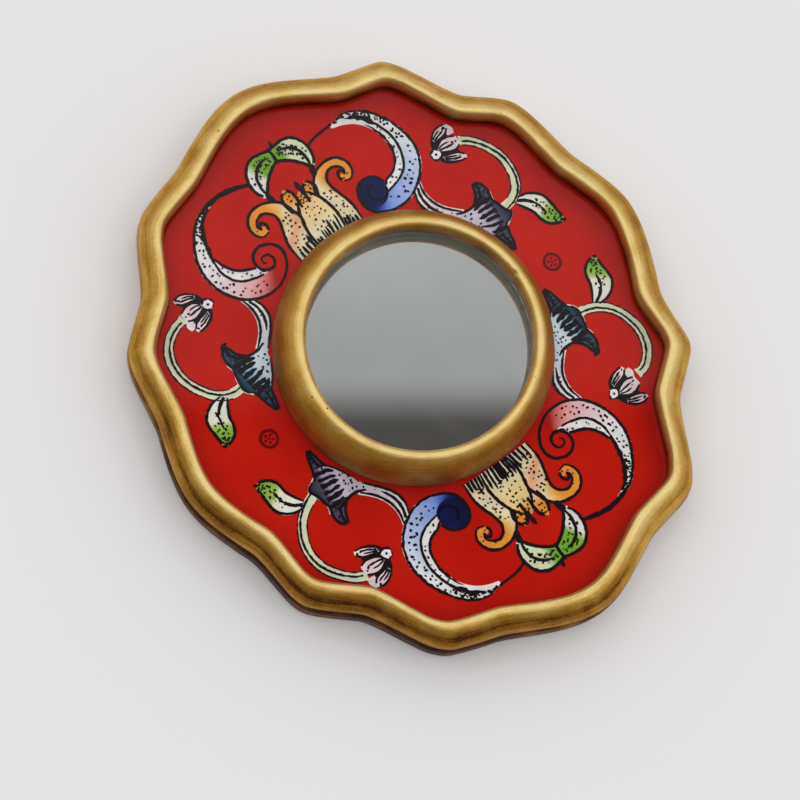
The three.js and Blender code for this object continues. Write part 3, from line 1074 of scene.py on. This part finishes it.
def hanging_leaf(place, shift, breadth):
    """A leaf that hangs from the stem, white at its root and green at its tip."""
    inner = [(32.7, 11.8), (33.7, 10.2), (34.5, 8.6), (34.8, 7), (35.5, 5.6), (36.9, 4.7), (38.3, 4.5)]
    outer = [(33.6, 12.7), (35.3, 12.5), (36.8, 11.6), (37.9, 10.2), (38.2, 8.4), (38.3, 6.6), (38.6, 4.7)]
    swell = breadth * np.sin(np.linspace(0, math.pi, len(outer)))
    fuller = np.column_stack([swell, np.zeros(len(outer))])
    leaf = Band(np.array(inner) + (shift, 0), np.array(outer) + (shift, 0) + fuller)
    underpaint(place, leaf, 0.12, (0.14, 0.08), end=0.9)
    stops = [(0, WHITE), (0.5, 0xDEDEC8), (0.58, 0x96B854), (0.8, LEAF), (1, 0x84B646)]
    fill(leaf_coat, place, leaf, stops, slant=-0.08)
    outline(place, leaf, 0.55, end=1)
    stroke(place, leaf.line(0, 0.35, 0.5, 0.5, 8), 0.62, 1, 0.6)
    stroke(place, leaf.line(0.35, 0.62, 0.5, 0.42, 8), 0.5, 0.8, 0.4, ragged=0.35)
    dots(place, leaf, 5, 2, 0.17, (0.3, 0.6), skip=0.2)
    dots(place, leaf, 5, 3, 0.19, (0.6, 0.95), skip=0.15)
    ink_coat.blot(place(leaf.at(0.99, 0.5)), 0.34, INK, 1.3, 2.6)


def rosette(place):
    """A small ring of dots on the open ground."""
    centre = np.array((31.6, -1))
    ring = circle(centre, 1.6, np.linspace(0, math.tau, 17))
    stroke(place, ring, 0.5, 1, 1, RED_INK)
    for spot in (centre, *circle(centre, 0.75, (i * math.tau / 5 for i in range(1, 6)))):
        ink_coat.blot(place(spot), 0.24, RED_INK)


PURPLE = (0xC0B6C8, 0x968CAA, 0x4C4A62, 0x201C2A)
TEAL = (0xC8D6E0, 0x70AAC8, 0x2E5068, 0x141E2A)
# Stems by side (1 is right) and half (1 is upper).
STEMS = {
    (1, 1): [(30.2, 12.6), (32.2, 12.9), (34, 14.1), (35.3, 16), (36, 18.6), (36.1, 21.4),
             (35.3, 24), (34, 26.1), (32.7, 27.4), (31.3, 28.2)],
    (-1, 1): [(29.9, 11.9), (32.2, 11.9), (34.7, 13.2), (36.6, 15.6), (37.8, 18.5), (38, 21.4),
              (37.3, 24.3), (35.6, 26.6), (33.6, 27.8), (31.4, 28.3)],
    (1, -1): [(30, 11.6), (32.2, 12.6), (34.4, 14.2), (36, 16.4), (37, 18.8), (37.3, 21.4),
              (36.6, 24.4), (34.9, 27), (33, 28.7), (31.2, 29.4)],
    (-1, -1): [(28.6, 12), (31.2, 12.2), (34, 13.3), (36, 15.2), (37.2, 17.8), (37.6, 20.6),
               (37, 23.6), (35.6, 25.8), (33.8, 27.2), (32.2, 27.4)],
}


def half_drawing(turn):
    """The upper half of the ornament, or the same turned half round."""
    right = Copy(1, turn)
    left = Copy(-1, turn)
    leaf_pair(right, left)
    tulip(right, left)
    blue_scroll(right)
    pink_scroll(left)
    for place, mirror in ((right, 1), (left, -1)):
        stem(place, STEMS[mirror, turn], 0.62 + 0.2 * mirror, 0.4)
        neck(place, PURPLE if mirror == 1 else TEAL)
    bell_flower(right, PURPLE, 0.9, 0)
    bell_flower(left, TEAL, 0, 0.2)
    bud(right, (31.1, 31))
    bud(left, (31, 26.5))
    hanging_leaf(right, 0, 0)
    hanging_leaf(left, 0.7, 0.6)
    rosette(right)


GROUND_INSET = 3.6


def make_ground(material):
    """The red ground behind the whole drawing."""
    low, _ = heights_of("paint_film")
    rings = [outline_ring(GROUND_INSET, height) for height in (low, GROUND_TOP)]
    ground = plate("red_ground", rings, material)
    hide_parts("paint_film")


# ------ stage, light and camera

FLOOR_HALF = 3  # in metres
FLOOR_DROP = 0.00005  # in metres, so that the felt and the floor share no face


def make_floor():
    corners = [(-1, -1), (1, -1), (1, 1), (-1, 1)]
    points = [(x * FLOOR_HALF, y * FLOOR_HALF, -FLOOR_DROP) for x, y in corners]
    mesh = bpy.data.meshes.new("floor")
    mesh.from_pydata(points, [], [(0, 1, 2, 3)])
    shader = Shader("floor_paper", Roughness=0.9, Specular_IOR_Level=0.1)
    shader.principled.inputs["Base Color"].default_value = (*srgb(0xF0F0F1), 1)
    mesh.materials.append(shader.material)
    new_object("floor", mesh)


def sky_direction(azimuth, off_zenith):
    """Direction with an azimuth and an angle from straight up, both in degrees."""
    turn = math.radians(azimuth)
    tilt = math.radians(off_zenith)
    return (math.sin(tilt) * math.cos(turn), math.sin(tilt) * math.sin(turn), math.cos(tilt))


PICTURE_UPRIGHT = sky_direction(54.3, 90)  # points up the picture
NEAR_SIDE = sky_direction(-147, 80)
NEAR_LIGHT = (0.26, 0.22, 0.19)
PANEL_CENTRE = sky_direction(34, 14.5)
PANEL_EDGE = math.cos(math.radians(12.5))  # where the panel begins to show
PANEL_WHOLE = math.cos(math.radians(9))  # where it hides the room behind it


def light_studio():
    """A pale room, dimmer low down on the side where the viewer sits.

    The looking glass shows a grey panel nearly overhead, which is dark along its near edge.
    """
    world = bpy.data.worlds.new("studio")
    world.use_nodes = True
    bpy.context.scene.world = world
    made = NodeTree(world.node_tree)
    direction = made.node("ShaderNodeTexCoord").outputs["Generated"]
    upward = made.dot(direction, (0, 0, 1))
    room = made.ramp(upward, [(0, 0.72), (0.3, 0.83), (0.62, 0.94), (0.86, 1.32), (1, 1.6)])
    nearness = made.dot(direction, NEAR_SIDE)
    room = made.mix(made.between(nearness, 0.3, 0.8), room, NEAR_LIGHT)
    panel_row = made.dot(direction, PICTURE_UPRIGHT)
    dark_to_grey = [(0, (0.09, 0.082, 0.079)), (1, 0.42)]
    panel = made.ramp(made.between(panel_row, 0.208, 0.236), dark_to_grey)
    panel = made.mix(made.between(panel_row, 0.24, 0.31), panel, (0.5, 0.5, 0.5))
    overhead = made.dot(direction, PANEL_CENTRE)
    inside = made.between(overhead, PANEL_EDGE, PANEL_WHOLE)
    light = made.mix(inside, room, panel)
    background = made.tree.nodes["Background"]
    made.tree.links.new(light, background.inputs["Color"])


AIM = Vector((-7.9, -6.6, 8)) * MM
CAMERA_DISTANCE = 358.4 * MM
CAMERA_SIDE = sky_direction(-146.8, 13.8)
LENS = 88.26
SENSOR_WIDTH = 36
NEAREST = 0.01  # in metres


def make_camera():
    """A close view from above, with the mirror turned in the picture."""
    back = Vector(CAMERA_SIDE)
    towards = Vector(PICTURE_UPRIGHT)
    upright = (towards - towards.dot(back) * back).normalized()
    right = upright.cross(back)
    turned = Matrix((right, upright, back)).transposed().to_4x4()
    data = bpy.data.cameras.new("camera")
    data.lens = LENS
    data.sensor_width = SENSOR_WIDTH
    data.clip_start = NEAREST
    camera = new_object("camera", data)
    camera.matrix_world = Matrix.Translation(AIM + back * CAMERA_DISTANCE) @ turned
    bpy.context.scene.camera = camera


# ------ make everything

make_camera()
make_floor()
light_studio()
bpy.context.scene.view_settings.view_transform = "Standard"

make_rim()
make_bezel()
make_felt()
make_silvering()

for turn in (1, -1):
    half_drawing(turn)
painted = reverse_paint("painted_glass")
for coat in coats:
    coat.build(painted)
make_ground(ground_paint())

kept = {
    "glass_panel": thin_glass("panel_glass_clear", (0.985, 0.99, 0.985)),
    "mirror_glass": thin_glass("mirror_glass_clear", (0.97, 0.98, 0.975)),
    "back_board": plain_wood("board_wood"),
    "mirror_seat": plain_wood("seat_wood"),
    "cushion_card": grey_card(),
    "adhesive_pad": foam_tape(),
}
steel = cut_steel()
for name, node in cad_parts.items():
    if name.startswith("glazier_point"):
        kept[name] = steel
for name, material in kept.items():
    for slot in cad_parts[name].material_slots:
        slot.material = material
